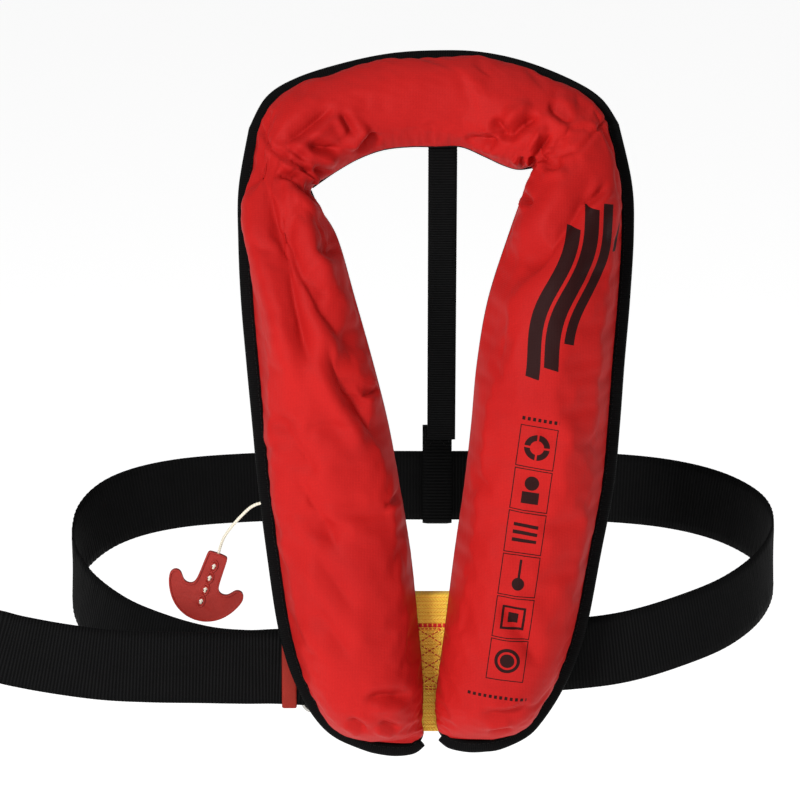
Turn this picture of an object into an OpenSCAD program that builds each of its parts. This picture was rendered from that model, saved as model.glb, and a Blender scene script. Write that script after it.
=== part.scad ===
// Inflatable life jacket: a folded bladder and its inflator inside a soft cover,
// worn over the neck and held by a belt that a back strap keeps level.
// Millimetres. Front faces -Y, up is +Z, origin at the nape where the collar rests.

/* [Cover] */
// How far the padded lobes stand out in front of their back panels
lobe_depth = 52; // [50:1:56]
// How far the padded collar stands out
collar_depth = 34; // [30:1:38]
// Thickness of the cover's fabric with its lining
fabric = 2.4; // [1.8:0.1:2.6]
// Thickness of the back panels
panel = 2; // [1.5:0.1:2.2]
// Width of the edge binding
tape_w = 7; // [6:0.5:8]
// Thickness of the edge binding, front to back
tape_t = 6.8; // [6.4:0.1:7]

/* [Webbing] */
// Width of the belt webbing
belt_w = 53; // [50:1:54]
// Thickness of the belt webbing
belt_t = 1.8; // [1.4:0.1:2]
// Width of the back strap
strap_w = 21; // [18:1:24]
// Width of the yellow lifting loop
lift_w = 44; // [38:1:46]

/* [Inflator] */
// Radius of the gas cylinder
gas_r = 14.5; // [13:0.5:14.5]
// Height of the gas cylinder's straight wall
gas_h = 106; // [90:1:108]
// Radius of the piercing pin's flange
pin_r = 4; // [3.5:0.1:4]
// Radial clearance of a running fit
running = 0.05; // [0.03:0.01:0.08]

/* [Pull cord] */
// Diameter of the pull cord
cord_d = 2.2; // [1.8:0.1:2.4]
// Thickness of the pull handle
handle_t = 5; // [4:0.5:6]
// Length of the pull handle's stem
stem_l = 50; // [46:1:52]

/* [Hidden] */
$fn = 48;

gap = 0.2;          // space left between sewn layers
wrap = 12;          // steps across a padded section
fullness = 0.6;     // below 1 the padded section has fuller shoulders
steps = 2;          // rings between two stations

// Stations of each padded part: [outer edge x, z], [inner edge x, z], depth, backward lean
seam_left = [[-134, 14], [-90, -26], collar_depth + 2, 0.3];
seam_right = [[131, 17], [70, -12], collar_depth + 2, 0.3];
left_lobe = [seam_left,
    [[-141, -25], [-84, -38], lobe_depth - 7, 0.15], [[-141, -60], [-71, -58], lobe_depth - 2, 0],
    [[-139, -100], [-58, -100], lobe_depth, 0], [[-135, -145], [-45, -145], lobe_depth, 0],
    [[-131, -190], [-34, -190], lobe_depth, 0], [[-127, -235], [-26, -235], lobe_depth, 0],
    [[-121, -285], [-18, -285], lobe_depth, 0], [[-114, -335], [-13, -335], lobe_depth, 0],
    [[-106, -368], [-10, -368], lobe_depth, 0], [[-96, -392], [-9, -392], lobe_depth - 4, 0],
    [[-85, -410], [-10, -410], lobe_depth - 14, 0], [[-72, -422], [-9, -422], lobe_depth - 30, 0],
    [[-52, -431], [-16, -433], 6, 0]];
right_lobe = [seam_right,
    [[140, -22], [63, -28], lobe_depth - 7, 0.15], [[141, -55], [52, -56], lobe_depth - 2, 0],
    [[138, -100], [37, -100], lobe_depth, 0], [[134, -145], [29, -145], lobe_depth, 0],
    [[131, -190], [25, -190], lobe_depth, 0], [[127, -235], [20, -235], lobe_depth, 0],
    [[118, -285], [13, -285], lobe_depth, 0], [[109, -335], [7, -335], lobe_depth, 0],
    [[100, -366], [3, -366], lobe_depth, 0], [[89, -390], [0, -390], lobe_depth - 4, 0],
    [[77, -409], [0, -406], lobe_depth - 14, 0], [[66, -421], [2, -419], lobe_depth - 30, 0],
    [[48, -430], [10, -429], 6, 0]];
collar = [seam_left,
    [[-122, 34], [-73, -15], collar_depth, 0.4], [[-101, 46], [-56, -6], collar_depth, 0.5],
    [[-66, 56], [-38, 0], collar_depth, 0.6], [[-33, 62], [-19, 2], collar_depth, 0.6],
    [[0, 64], [0, 2], collar_depth, 0.6], [[32, 63], [18, 2], collar_depth, 0.6],
    [[64, 57], [34, -4], collar_depth, 0.6], [[98, 45], [48, -10], collar_depth, 0.5],
    [[119, 33], [59, -13], collar_depth, 0.4], seam_right];

// Route of the belt's middle line seen from above, from the buckle round the back
belt_route = [[-96, -47.1], [-118, -47.1], [-138, -46.8], [-166, -41], [-198, -26], [-230, -4],
    [-256, 28], [-268, 66], [-262, 104], [-238, 134], [-195, 152], [-130, 160], [-60, 162],
    [0, 162], [60, 162], [120, 160], [175, 151], [216, 132], [243, 102], [250, 66], [238, 28],
    [212, -4], [176, -27], [138, -43], [100, -49], [60, -50], [10, -50], [-41.8, -50]];
// Route of the free tail, from its fold round the buckle
tail_route = [[-95.7, -47.1, -374], [-94, -47.5, -374], [-93.1, -50, -374],
    [-94, -52.5, -374], [-95.7, -52.9, -374], [-118, -52.9, -373], [-138, -53.2, -373],
    [-170, -55, -372], [-205, -57, -371], [-240, -58, -369], [-275, -59, -364],
    [-305, -60, -358], [-334, -60, -351]];
// Route of the pull cord, from the lever's tip out through the cover's edge to the handle
cord_route = [[-89.5, -90, -312], [-95, -90, -308], [-99, -88, -300], [-101, -84, -288],
    [-103, -77, -272], [-107, -68, -258], [-112, -62.5, -250], [-119, -61.4, -248],
    [-127, -61, -248], [-134, -57, -252], [-141, -50, -260], [-148, -40, -270],
    [-154, -27.5, -281], [-157, -19.5, -290], [-158.4, -17, -295.5]];
lanyard_route = [[45, -84, -245], [45, -84, -238], [49, -84, -231], [56, -84, -228],
    [63, -85, -232], [66.1, -87, -240]];
strap_route = [[0, 29, 34], [0, 18.6, 19], [0, 10, 4], [0, 18, -20], [0, 41, -60],
    [0, 80, -122], [0, 118, -184], [0, 146, -232], [0, 156, -248]];
lift_route = [[0, -55.8, -412], [0, -55.8, -325], [0, -54, -319.5], [0, -50.5, -317.5],
    [0, -47, -319.5], [0, -45.2, -325], [0, -45.2, -400]];

inf_x = -62;        // middle line of the inflator
inf_y = -89;
neck_z = -334;      // bottom of the gas cylinder's neck
pivot_x = -85;      // firing lever's pivot
pivot_z = -348;
oral_x = 75;        // middle line of the oral tube
oral_y = -88;
whistle_x = 45;
cord_exit_z = -248;

// The surface that the back panels lie on: flat on the chest, leaning back over the shoulders
function lay(z) = z < -150 ? -60 : -60 + 60 * pow((z + 150) / 150, 1.6);
function on_back(p) = [p[0], lay(p[1]), p[1]];
function belt_z(x, y) = -285 - 0.39 * (162 - y) + 0.0002 * x * (162 - y);

// Points between list entries on a smooth curve through them
function at(p, i) = p[max(0, min(len(p) - 1, i))];
function curve_at(p, i, u) = 0.5 * (2 * at(p, i) + (at(p, i + 1) - at(p, i - 1)) * u
    + (2 * at(p, i - 1) - 5 * at(p, i) + 4 * at(p, i + 1) - at(p, i + 2)) * u * u
    + (3 * at(p, i) - at(p, i - 1) - 3 * at(p, i + 1) + at(p, i + 2)) * u * u * u);
function smooth(p, n) = [for (i = [0:len(p) - 2], k = [0:n - 1]) curve_at(p, i, k / n), at(p, len(p))];
function column(stations, k) = [for (s = stations) s[k]];

// A padded part as rows of [outer edge, inner edge, depth, lean] with the binding taken off
function rows(stations) = let (
        o = smooth([for (s = stations) on_back(s[0])], steps),
        i = smooth([for (s = stations) on_back(s[1])], steps),
        d = smooth(column(stations, 2), steps), l = smooth(column(stations, 3), steps))
    [for (k = [0:len(o) - 1]) let (in = (i[k] - o[k]) / norm(i[k] - o[k]))
        [o[k] + in * tape_w, i[k], d[k], [0, -1, l[k]] / norm([0, -1, l[k]]), o[k]]];
function swell(a) = pow(max(sin(a), 0), fullness);
function chord(row, s) = row[0] + (row[1] - row[0]) * s;
function arc_point(row, s0, s1, rise, a) =
    chord(row, s0 + (s1 - s0) * (1 - cos(a)) / 2) + row[3] * rise * swell(a);

// One closed solid through rings that each hold the same number of points
function ring_faces(n, m) = [for (i = [0:n - 2], j = [0:m - 1]) let (
        a = i * m + j, b = i * m + (j + 1) % m) each [[a, b, a + m], [b, b + m, a + m]]];
function cap_faces(m, base, flip) = [for (k = [0:m / 2 - 2]) let (
        a = base + k, b = base + k + 1, c = base + m - 2 - k, d = base + m - 1 - k)
    each flip ? [[c, b, a], [d, c, a]] : [[a, b, c], [a, c, d]]];
function volume(p, f) = [for (t = f) p[t[0]] * cross(p[t[1]], p[t[2]])];
function total(v, i = 0, s = 0) = i == len(v) ? s : total(v, i + 1, s + v[i]);
module skin(rings) {
    m = len(rings[0]);
    n = len(rings);
    points = [for (r = rings) each r];
    faces = concat(ring_faces(n, m), cap_faces(m, 0, true), cap_faces(m, (n - 1) * m, false));
    outward = total(volume(points, faces)) < 0;
    polyhedron(points, outward ? faces : [for (f = faces) [f[2], f[1], f[0]]], convexity = 6);
}

// A band of webbing: its route, the direction of its width, and its size
module band(route, wide, w, t) {
    n = len(route);
    skin([for (i = [0:n - 1]) let (
            along = at(route, i + 1) - at(route, i - 1),
            out = cross(along, wide) / norm(cross(along, wide)) * t / 2,
            p = i == n - 1 ? route[n - 1] : route[i])
        [p + wide * w / 2 + out, p - wide * w / 2 + out,
         p - wide * w / 2 - out, p + wide * w / 2 - out]]);
}
// A round cord along its route
module cord(route, d, sides = 8) {
    n = len(route);
    skin([for (i = [0:n - 1]) let (
            along = route[min(i + 1, n - 1)] - route[max(i - 1, 0)], t = along / norm(along),
            side = cross(t, [0.3, 1, 0.1]), u = side / norm(side), v = cross(t, u))
        [for (k = [0:sides - 1]) route[i] + (u * cos(360 * k / sides) + v * sin(360 * k / sides)) * d / 2]]);
}

module shell(stations) {
    skin([for (r = rows(stations)) let (e = fabric / norm(r[1] - r[0]))
        concat([for (k = [0:wrap]) arc_point(r, 0, 1, r[2], 180 * k / wrap)],
               [for (k = [wrap:-1:0]) arc_point(r, e, 1 - e, r[2] - fabric, 180 * k / wrap)])]);
}
module sheet_behind(stations) {
    skin([for (r = rows(stations))
        [r[0] - r[3] * gap, r[1] - r[3] * gap, r[1] - r[3] * (panel + gap), r[0] - r[3] * (panel + gap)]]);
}
module tape(stations) {
    skin([for (r = rows(stations)) let (in = (r[0] - r[4]) / norm(r[0] - r[4]), edge = r[0] - in * gap)
        [r[4] + r[3] * tape_t / 2, edge + r[3] * tape_t / 2,
         edge - r[3] * tape_t / 2, r[4] - r[3] * tape_t / 2]]);
}
// Folded bladder, rising from just in front of the back panel by the given heights
module folded(stations, s0, s1, rises) {
    r = rows(stations);
    h = smooth(rises, steps);
    skin([for (i = [0:len(r) - 1])
        concat([for (k = [0:wrap]) arc_point(r[i], s0, s1, h[i], 180 * k / wrap) + r[i][3] * 1.4],
               [for (k = [wrap:-1:0]) arc_point(r[i], s0, s1, 0, 180 * k / wrap) + r[i][3] * 0.4])]);
}
module strip_inside(stations, s0, s1, first, last) {
    r = rows(stations);
    skin([for (i = [first * steps:last * steps])
        [chord(r[i], s0) + r[i][3] * 0.3, chord(r[i], s1) + r[i][3] * 0.3,
         chord(r[i], s1) + r[i][3] * 2.3, chord(r[i], s0) + r[i][3] * 2.3]]);
}
function part_of(list, first, last) = [for (i = [first:last]) list[i]];

module cord_hole() {
    translate([-130, -61.4, cord_exit_z]) rotate([0, 90, 0]) cylinder(h = 17, r = 1.5);
}
module box(lo, hi) { translate(lo) cube(hi - lo); }
module tube_z(x, y, z0, z1, r_out, r_in) {
    translate([x, y, z0]) difference() {
        cylinder(h = z1 - z0, r = r_out);
        translate([0, 0, -1]) cylinder(h = z1 - z0 + 2, r = r_in);
    }
}

module cover_left() { color("firebrick") difference() { shell(left_lobe); cord_hole(); } }
module cover_right() { color("firebrick") shell(right_lobe); }
module cover_collar() { color("firebrick") shell(collar); }
module back_panel_left() { color("#202020") sheet_behind(left_lobe); }
module back_panel_right() { color("#202020") sheet_behind(right_lobe); }
module back_panel_collar() { color("#202020") sheet_behind(collar); }
module binding_left() { color("#101010") difference() { tape(left_lobe); cord_hole(); } }
module binding_right() { color("#101010") tape(right_lobe); }
module binding_collar() { color("#101010") tape(collar); }
module closure_left() { color("#303030") strip_inside(left_lobe, 0.88, 0.95, 2, 10); }
module closure_right() { color("#303030") strip_inside(right_lobe, 0.88, 0.95, 2, 10); }
module bladder_left() {
    color("gold") folded(part_of(left_lobe, 1, 11), 0.18, 0.84, [30, 36, 38, 36, 8, 8, 8, 8, 8, 8, 8]);
}
module bladder_right() {
    color("gold") folded(part_of(right_lobe, 1, 11), 0.18, 0.84, [22, 14, 8, 8, 8, 8, 8, 12, 24, 28, 20]);
}
module bladder_collar() {
    color("gold") folded(part_of(collar, 1, 9), 0.16, 0.84, [20, 22, 22, 22, 22, 22, 22, 22, 20]);
}

module back_strap() { color("#151515") translate([5, 0, 0]) band(smooth(strap_route, 3), [1, 0, 0], strap_w, 1.6); }
module back_strap_loop() {
    color("#151515") translate([2, 0, 0]) difference() {
        box([-11, 158, -314.5], [11, 166.4, -238]);
        box([-12, 160.2, -312.6], [12, 164.6, -257]);
        box([-12, 150, -256], [12, 160.2, -237]);
    }
}
module belt() {
    route = smooth(belt_route, 2);
    color("#151515") band([for (p = route) [p[0], p[1], belt_z(p[0], p[1])]], [0, 0, 1], belt_w, belt_t);
}
module belt_tail() { color("#151515") band(tail_route, [0, 0, 1], belt_w, belt_t); }
module belt_keeper() {
    color("#8a2a20") difference() {
        box([-112, -55.4, -402.7], [-101, -44.4, -342]);
        box([-113, -54.1, -401.4], [-100, -45.7, -343.3]);
    }
}
module guide(x0, x1, z) {
    color("#151515") difference() {
        box([x0, -54.2, z - 30], [x1, -46.2, z + 30]);
        box([x0 - 1, -52.6, z - 28.4], [x1 + 1, -47.8, z + 28.4]);
    }
}
module belt_guide_left() { guide(-39, -27, -368.5); }
module belt_guide_right() { guide(38, 58, -366.5); }
module buckle_frame() {
    color("silver") difference() {
        box([-98, -51.6, -407], [-58, -48.4, -341]);
        box([-94.8, -53, -403.8], [-61.2, -47, -344.2]);
    }
}
module buckle_hook() {
    color("silver") union() {
        translate([-44, -50, -396]) cylinder(h = 50, r = 1.6);
        box([-45.4, -50, -391], [-42.8, -45.6, -351]);
        box([-64, -47.6, -391], [-44, -45.6, -351]);
        box([-66, -52, -391], [-64, -45.6, -351]);
    }
}
module lifting_loop() { color("orange") translate([-2, 0, 0]) band(lift_route, [1, 0, 0], lift_w, 2.4); }

module inflator_body() {
    color("#2a2a2e") difference() {
        union() {
            box([inf_x - 17, inf_y - 12, -378], [inf_x + 17, inf_y + 14, -322]);
            translate([inf_x, inf_y, -382]) cylinder(h = 5, r = 9);
            for (y = [-8, 4.6]) box([pivot_x - 5, inf_y + y, pivot_z - 6], [inf_x - 16, inf_y + y + 3.4, pivot_z + 6]);
        }
        translate([inf_x, inf_y, neck_z]) cylinder(h = 20, r = 6.5 + running);
        translate([inf_x, inf_y, -352]) cylinder(h = 16, r = pin_r + running);
        translate([inf_x, inf_y, -338]) cylinder(h = 6, r = 1.6 + running);
        box([inf_x - 18, inf_y - 3.8, -352], [inf_x + 4, inf_y + 3.8, -337]);
        translate([inf_x, inf_y - 20, -368]) rotate([-90, 0, 0]) cylinder(h = 40, r = 4.2);
        translate([pivot_x, inf_y - 20, pivot_z]) rotate([-90, 0, 0]) cylinder(h = 40, r = 1.5);
    }
}
module manifold_stem() {
    color("black") translate([inf_x, 0, -368]) rotate([90, 0, 0]) union() {
        translate([0, 0, 72.6]) cylinder(h = 1.2, r = 10);
        translate([0, 0, 73]) cylinder(h = 31, r = 4);
    }
}
module manifold_gasket() {
    color("dimgray") translate([inf_x, 0, -368]) rotate([90, 0, 0]) difference() {
        translate([0, 0, 73.9]) cylinder(h = 1, r = 8);
        translate([0, 0, 70]) cylinder(h = 10, r = 4.1);
    }
}
module cap_nut() {
    color("black") translate([inf_x, 0, -368]) rotate([90, 0, 0]) difference() {
        translate([0, 0, 101.2]) cylinder(h = 4, r = 7, $fn = 6);
        translate([0, 0, 100]) cylinder(h = 4.2, r = 4.1);
    }
}
module firing_lever() {
    color("crimson") difference() {
        union() {
            box([pivot_x - 3, inf_y - 3.4, pivot_z - 2], [pivot_x + 3, inf_y + 3.4, pivot_z + 38]);
            translate([pivot_x, inf_y + 3.4, pivot_z]) rotate([90, 0, 0]) cylinder(h = 6.8, r = 5);
            box([pivot_x, inf_y - 3, pivot_z - 2.5], [inf_x - 3, inf_y + 3, pivot_z + 2.4]);
        }
        translate([pivot_x, inf_y - 10, pivot_z]) rotate([-90, 0, 0]) cylinder(h = 20, r = 1.55);
    }
}
module lever_pin() {
    color("silver") translate([pivot_x, inf_y + 8, pivot_z]) rotate([90, 0, 0]) cylinder(h = 16, r = 1.48);
}
module piercing_pin() {
    color("silver") translate([inf_x, inf_y, -345]) union() {
        cylinder(h = 2, r = pin_r);
        cylinder(h = 12, r = 1.6);
    }
}
module piercing_spring() { color("gray") tube_z(inf_x, inf_y, -342.9, -336.1, 3.7, 1.9); }
module sensor_cartridge() { color("khaki") translate([inf_x, inf_y, -390.9]) cylinder(h = 8.7, r = 8); }
module sensor_cap() {
    color("gold") translate([inf_x, inf_y, -394]) difference() {
        cylinder(h = 15.8, r = 12);
        translate([0, 0, 3]) cylinder(h = 20, r = 9 + running);
    }
}
module gas_cylinder() {
    color("silver") translate([inf_x, inf_y, neck_z]) difference() {
        rotate_extrude() polygon([[0, 0], [6.5, 0], [6.5, 14], [gas_r - 3, 22], [gas_r, 27],
            [gas_r, 27 + gas_h - 8], [gas_r - 3, 27 + gas_h - 2], [gas_r - 8, 27 + gas_h], [0, 27 + gas_h]]);
        translate([0, 0, -1]) cylinder(h = 12, r = 2.4);
    }
}

module pull_cord() { color("ivory") cord(smooth(cord_route, 3), cord_d); }
module pull_handle() {
    color("firebrick") translate([-158.4, -17 + handle_t / 2, -295.5]) rotate([90, 20, 0])
    linear_extrude(handle_t) difference() {
        union() {
            translate([-8, -stem_l]) square([16, stem_l - 2]);
            translate([-6, -2.5]) square([12, 2.5]);
            difference() {
                translate([0, -26]) circle(r = 28);
                translate([0, -6]) circle(r = 33.2);
            }
        }
        for (k = [0:3]) translate([0, -10 - 9.3 * k]) circle(r = 1.4);
    }
}

module oral_tube() { color("#1c1c1c") tube_z(oral_x, oral_y, -262, -158, 8, 5.5); }
module valve_body() {
    color("#1c1c1c") translate([oral_x, oral_y, -157.8]) difference() {
        cylinder(h = 22, r = 9);
        translate([0, 0, -1]) cylinder(h = 8, r = 5.5);
        translate([0, 0, 6]) cylinder(h = 20, r = 4 + running);
    }
}
module valve_poppet() {
    color("crimson") translate([oral_x, oral_y, -145]) union() {
        cylinder(h = 8, r = 4);
        cylinder(h = 10, r = 2.5);
    }
}
module valve_spring() { color("gray") tube_z(oral_x, oral_y, -151.6, -145.2, 3.6, 2.4); }
module dust_cap() {
    color("gold") translate([oral_x, oral_y, -147]) difference() {
        cylinder(h = 16.6, r = 10.6);
        translate([0, 0, -1]) cylinder(h = 15.4, r = 9 + running);
    }
}
module whistle() {
    color("orange") difference() {
        union() {
            box([whistle_x - 8, -87.5, -290], [whistle_x + 8, -80.5, -250]);
            box([whistle_x - 4, -86.5, -250], [whistle_x + 4, -81.5, -245.2]);
        }
        for (s = [-1, 1]) box([whistle_x + s * 4 - 2.5, -89, -282], [whistle_x + s * 4 + 2.5, -84, -276]);
        for (s = [-1, 1]) box([whistle_x + s * 4 - 2.5, -86, -291], [whistle_x + s * 4 + 2.5, -82, -275]);
    }
}
module whistle_holder() {
    color("#151515") difference() {
        box([whistle_x - 9.8, -89.3, -292.5], [whistle_x + 9.8, -78.7, -268]);
        box([whistle_x - 8.4, -87.9, -290.4], [whistle_x + 8.4, -80.1, -260]);
    }
}
module whistle_lanyard() { color("orange") cord(smooth(lanyard_route, 2), 1.6); }

cover_left();
cover_right();
cover_collar();
back_panel_left();
back_panel_right();
back_panel_collar();
binding_left();
binding_right();
binding_collar();
closure_left();
closure_right();
bladder_left();
bladder_right();
bladder_collar();
back_strap();
back_strap_loop();
belt();
belt_tail();
belt_keeper();
belt_guide_left();
belt_guide_right();
buckle_frame();
buckle_hook();
lifting_loop();
inflator_body();
manifold_stem();
manifold_gasket();
cap_nut();
firing_lever();
lever_pin();
piercing_pin();
piercing_spring();
sensor_cartridge();
sensor_cap();
gas_cylinder();
pull_cord();
pull_handle();
oral_tube();
valve_body();
valve_poppet();
valve_spring();
dust_cap();
whistle();
whistle_holder();
whistle_lanyard();
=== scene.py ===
"""The looks of a packed inflatable life jacket, built around its fixed frame."""
import math

import bmesh
import bpy
import numpy as np
from mathutils import Matrix, Vector


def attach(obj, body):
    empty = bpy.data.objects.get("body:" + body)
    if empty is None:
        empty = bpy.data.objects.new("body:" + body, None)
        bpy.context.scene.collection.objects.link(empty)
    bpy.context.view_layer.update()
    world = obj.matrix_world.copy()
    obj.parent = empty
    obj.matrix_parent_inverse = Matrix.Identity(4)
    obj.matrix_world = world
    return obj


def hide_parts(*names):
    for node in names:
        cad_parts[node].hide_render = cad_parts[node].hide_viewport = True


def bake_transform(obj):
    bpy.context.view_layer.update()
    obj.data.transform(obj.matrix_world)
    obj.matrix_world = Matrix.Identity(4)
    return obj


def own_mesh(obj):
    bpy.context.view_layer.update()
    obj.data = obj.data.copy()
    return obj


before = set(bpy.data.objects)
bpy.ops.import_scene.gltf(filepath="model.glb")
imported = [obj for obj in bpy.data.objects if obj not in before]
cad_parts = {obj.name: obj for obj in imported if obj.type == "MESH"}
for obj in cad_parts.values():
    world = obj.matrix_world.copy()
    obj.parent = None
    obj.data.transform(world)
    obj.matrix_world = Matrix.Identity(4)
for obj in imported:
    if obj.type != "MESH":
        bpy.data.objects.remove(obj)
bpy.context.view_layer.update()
MM = 0.001

# ---------------------------------------------------------------- driving sizes, millimetres
LOBE_DEPTH = 52
COLLAR_DEPTH = 34
TAPE_W = 7
BELT_W = 53
BELT_T = 1.8
CORD_D = 2.2

# Stations of the padded horseshoe: outer edge x, z; inner edge x, z; depth; backward lean
SEAM_LEFT = (-134, 14, -90, -26, COLLAR_DEPTH + 2, 0.3)
SEAM_RIGHT = (131, 17, 70, -12, COLLAR_DEPTH + 2, 0.3)
LEFT_LOBE = [
    SEAM_LEFT, (-141, -25, -84, -38, LOBE_DEPTH - 7, 0.15), (-141, -60, -71, -58, LOBE_DEPTH - 2, 0),
    (-139, -100, -58, -100, LOBE_DEPTH, 0), (-135, -145, -45, -145, LOBE_DEPTH, 0),
    (-131, -190, -34, -190, LOBE_DEPTH, 0), (-127, -235, -26, -235, LOBE_DEPTH, 0),
    (-121, -285, -18, -285, LOBE_DEPTH, 0), (-114, -335, -13, -335, LOBE_DEPTH, 0),
    (-106, -368, -10, -368, LOBE_DEPTH, 0), (-96, -392, -9, -392, LOBE_DEPTH - 5, 0),
    (-85, -410, -10, -410, LOBE_DEPTH - 20, 0), (-72, -422, -9, -422, LOBE_DEPTH - 40, 0),
    (-52, -431, -16, -433, 6, 0)]
RIGHT_LOBE = [
    SEAM_RIGHT, (140, -22, 63, -28, LOBE_DEPTH - 7, 0.15), (141, -55, 52, -56, LOBE_DEPTH - 2, 0),
    (138, -100, 37, -100, LOBE_DEPTH, 0), (134, -145, 29, -145, LOBE_DEPTH, 0),
    (131, -190, 25, -190, LOBE_DEPTH, 0), (127, -235, 20, -235, LOBE_DEPTH, 0),
    (118, -285, 13, -285, LOBE_DEPTH, 0), (109, -335, 7, -335, LOBE_DEPTH, 0),
    (100, -366, 3, -366, LOBE_DEPTH, 0), (89, -390, 0, -390, LOBE_DEPTH - 5, 0),
    (77, -409, 0, -406, LOBE_DEPTH - 20, 0), (66, -421, 2, -419, LOBE_DEPTH - 40, 0),
    (48, -430, 10, -429, 6, 0)]
COLLAR = [
    SEAM_LEFT, (-122, 34, -73, -15, COLLAR_DEPTH, 0.4), (-101, 46, -56, -6, COLLAR_DEPTH, 0.5),
    (-66, 56, -38, 0, COLLAR_DEPTH, 0.6), (-33, 62, -19, 2, COLLAR_DEPTH, 0.6),
    (0, 64, 0, 2, COLLAR_DEPTH, 0.6), (32, 63, 18, 2, COLLAR_DEPTH, 0.6),
    (64, 57, 34, -4, COLLAR_DEPTH, 0.6), (98, 45, 48, -10, COLLAR_DEPTH, 0.5),
    (119, 33, 59, -13, COLLAR_DEPTH, 0.4), SEAM_RIGHT]
HORSESHOE = LEFT_LOBE[::-1] + COLLAR[1:] + RIGHT_LOBE[1:]

# Creases pressed into the cover, seen from the front: half width, depth, and a line of x, z
CREASES = [
    (5, 8, [(-41, 15), (-50, 6), (-56, -3)]), (4, 4.5, [(-95, 12), (-81, 7), (-67, 4)]),
    (4, 5.5, [(-90, -5), (-82, -12), (-71, -15)]), (3, 3.5, [(-112, 9), (-103, 6), (-91, -3)]),
    (2.5, 4.5, [(-117, 6), (-107, 2), (-95, -7), (-86, -16)]),
    (5, 4.5, [(-115, 9), (-97, 20), (-83, 30), (-72, 37)]),
    (3, 3.5, [(-69, 33), (-62, 21), (-60, 13)]),
    (9, 7, [(-135, 5), (-123, -14), (-117, -38), (-107, -69), (-99, -100), (-93, -125),
            (-80, -150)]),
    (4.5, 4.5, [(-111, -9), (-102, -13), (-90, -23), (-77, -35)]),
    (2.5, 3, [(-116, -9), (-106, -11), (-95, -12)]),
    (4.5, 3.5, [(-90, -57), (-78, -61), (-66, -67)]),
    (4, 3, [(-92, -71), (-81, -86), (-75, -91)]),
    (6, 5, [(-55, -140), (-70, -112), (-86, -89), (-99, -62), (-115, -15)]),
    (7, 5.5, [(-82, -114), (-66, -147), (-53, -169), (-33, -206)]),
    (2.5, 2.5, [(-53, -159), (-42, -161)]), (9, 3.5, [(-108, -205), (-88, -239), (-62, -285)]),
    (8, 2.5, [(-92, -266), (-77, -287), (-56, -318)]),
    (8, 2.2, [(-92, -306), (-75, -330), (-58, -355)]),
    (8, 3, [(-120, -168), (-103, -190), (-82, -222)]),
    (2.5, 2.5, [(-38, -241), (-25, -238)]), (5, 4, [(-53, -382), (-38, -379), (-16, -382)]),
    (4, 3, [(-64, -396), (-49, -410)]), (4, 3, [(-42, -399), (-25, -409)]),
    (5, 6, [(75, 31), (59, 20), (51, 9)]), (3, 4.5, [(84, 18), (76, 9), (72, -3)]),
    (4, 3.5, [(80, 37), (91, 29), (101, 26)]), (6, 6, [(40, 27), (48, 19), (45, 10)]),
    (5, 4.5, [(19, 9), (37, 9), (47, 11)]), (2.5, 3.5, [(60, 0), (64, -11)]),
    (2.5, 3.5, [(68, 1), (71, -8)]), (3, 3, [(72, 2), (83, -2), (91, 2)]),
    (3, 3, [(74, -6), (85, -5), (92, -1)]), (3, 3.5, [(60, -25), (71, -31)]),
    (3, 3.5, [(104, -26), (113, -23), (124, -15)]),
    (9, 5.5, [(113, 0), (108, -19), (94, -39), (75, -59), (49, -87)]),
    (5, 3, [(70, -385), (52, -394), (30, -392)]), (4, 2.5, [(58, -408), (36, -412)]),
    (7, 3, [(40, -300), (60, -330), (76, -360)])]
SEAM_LINES = [
    [(-131, 24), (-126, 17), (-119, 7), (-110, 0), (-101, -7), (-92, -11), (-84, -20)],
    [(128, 26), (114, 17), (103, 8), (85, 2), (79, 1), (68, -9)]]

# Routes, as points of x, y (and z)
BELT_ROUTE = [
    (-96, -47.1), (-118, -47.1), (-138, -46.8), (-166, -41), (-198, -26), (-230, -4), (-256, 28),
    (-268, 66), (-262, 104), (-238, 134), (-195, 152), (-130, 160), (-60, 162), (0, 162), (60, 162),
    (120, 160), (175, 151), (216, 132), (243, 102), (250, 66), (238, 28), (212, -4), (176, -27),
    (138, -43), (100, -49), (60, -50), (10, -50), (-41.8, -50)]
TAIL_ROUTE = [
    (-95.7, -47.1, -374), (-94, -47.5, -374), (-93.1, -50, -374), (-94, -52.5, -374),
    (-95.7, -52.9, -374), (-118, -52.9, -373), (-138, -53.2, -373), (-170, -55, -372),
    (-205, -57, -371), (-240, -58, -369), (-275, -59, -364), (-305, -60, -358), (-334, -60, -351)]
CORD_ROUTE = [
    (-89.5, -90, -312), (-95, -90, -308), (-99, -88, -300), (-101, -84, -288), (-103, -77, -272),
    (-107, -68, -258), (-112, -62.5, -250), (-119, -61.4, -248), (-127, -61, -248),
    (-134, -57, -252), (-141, -50, -260), (-148, -40, -270), (-154, -27.5, -281),
    (-157, -19.5, -290), (-158.4, -17, -295.5)]
STRAP_ROUTE = [
    (5, 29, 34), (5, 18.6, 19), (5, 10, 4), (5, 18, -20), (5, 41, -60), (5, 80, -122),
    (5, 118, -184), (5, 146, -232), (5, 156, -248)]
LIFT_ROUTE = [
    (-2, -55.8, -412), (-2, -55.8, -325), (-2, -54, -319.5), (-2, -50.5, -317.5), (-2, -47, -319.5),
    (-2, -45.2, -325), (-2, -45.2, -400)]
LANYARD_ROUTE = [
    (45, -84, -245), (45, -84, -238), (49, -84, -231), (56, -84, -228), (63, -85, -232),
    (66.1, -87, -240)]
HANDLE_TOP = (-158.4, -17, -295.5)
HANDLE_TILT = 20
HANDLE_T = 5


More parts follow.
